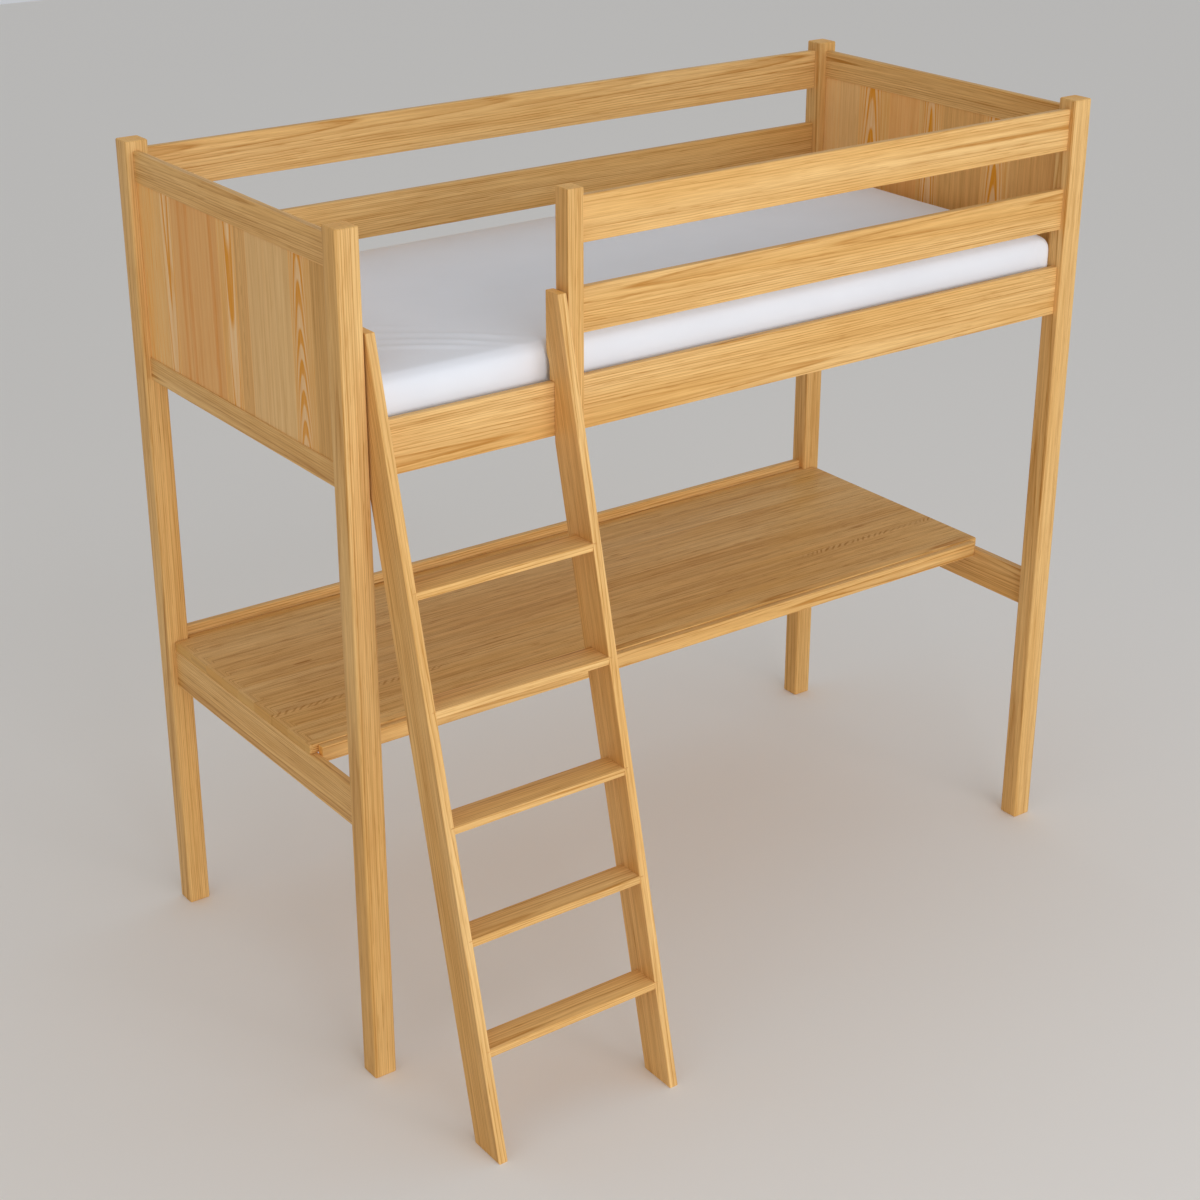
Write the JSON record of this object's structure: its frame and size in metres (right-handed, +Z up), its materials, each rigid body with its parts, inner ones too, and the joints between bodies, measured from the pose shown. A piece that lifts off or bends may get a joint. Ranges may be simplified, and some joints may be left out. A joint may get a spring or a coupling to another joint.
{
  "type": "loft bed with desk",
  "caption": "Wooden loft bed: high slatted base with mattress and guard rails on corner posts, full-length desk underneath, leaning ladder hooked on the side rail.",
  "frame": {"origin": "on the floor, under the middle of the whole bed with its ladder foot included", "axes": "+X along the bed from the ladder end to the far end, +Y from the ladder side to the wall side, +Z up"},
  "size_m": [2.08, 1.394, 1.955],
  "materials": {
    "pine": "satin clear lacquer",
    "pine_panel": "satin clear lacquer",
    "pine_base": "planed, bare",
    "mattress_cover": "smooth white cover",
    "hardware": "zinc plated"
  },
  "bodies": {
    "frame": {"post_front_left": "pine", "post_front_right": "pine", "post_back_left": "pine", "post_back_right": "pine", "guard_post": "pine", "guard_post_screw_1": "hardware", "guard_post_screw_2": "hardware", "side_rail_front": "pine", "side_rail_back": "pine", "guard_rail_front_upper": "pine", "guard_rail_front_lower": "pine", "guard_rail_back_upper": "pine", "guard_rail_back_lower": "pine", "end_top_rail_left": "pine", "end_top_rail_right": "pine", "end_bottom_rail_left": "pine", "end_bottom_rail_right": "pine", "end_panel_left": "pine_panel", "end_panel_right": "pine_panel", "connector_bolt_front_left": "hardware", "connector_bolt_front_right": "hardware", "connector_bolt_back_left": "hardware", "connector_bolt_back_right": "hardware", "barrel_nut_front_left": "hardware", "barrel_nut_front_right": "hardware", "barrel_nut_back_left": "hardware", "barrel_nut_back_right": "hardware", "slat_cleat_front": "pine_base", "slat_cleat_back": "pine_base", "slat_01": "pine_base", "slat_02": "pine_base", "slat_03": "pine_base", "slat_04": "pine_base", "slat_05": "pine_base", "slat_06": "pine_base", "slat_07": "pine_base", "slat_08": "pine_base", "slat_09": "pine_base", "slat_10": "pine_base", "slat_11": "pine_base", "slat_12": "pine_base", "slat_13": "pine_base", "slat_14": "pine_base", "desk_top": "pine", "desk_front_lip": "pine", "desk_rail_left": "pine", "desk_rail_right": "pine", "desk_rail_back": "pine"},
    "mattress": {"mattress": "mattress_cover"},
    "ladder": {"ladder_stile_left": "pine", "ladder_stile_right": "pine", "ladder_tread_1": "pine", "ladder_tread_2": "pine", "ladder_tread_3": "pine", "ladder_tread_4": "pine", "ladder_tread_5": "pine"}
  },
  "joints": [
    {"name": "mattress_lift", "type": "slide", "parent": "frame", "child": "mattress", "axis": [0, 0, 1], "range_m": [0, 0.5]},
    {"name": "ladder_lift", "type": "slide", "parent": "frame", "child": "ladder", "axis": [0, -0.5, 0.866], "range_m": [0, 0.45]}
  ]
}
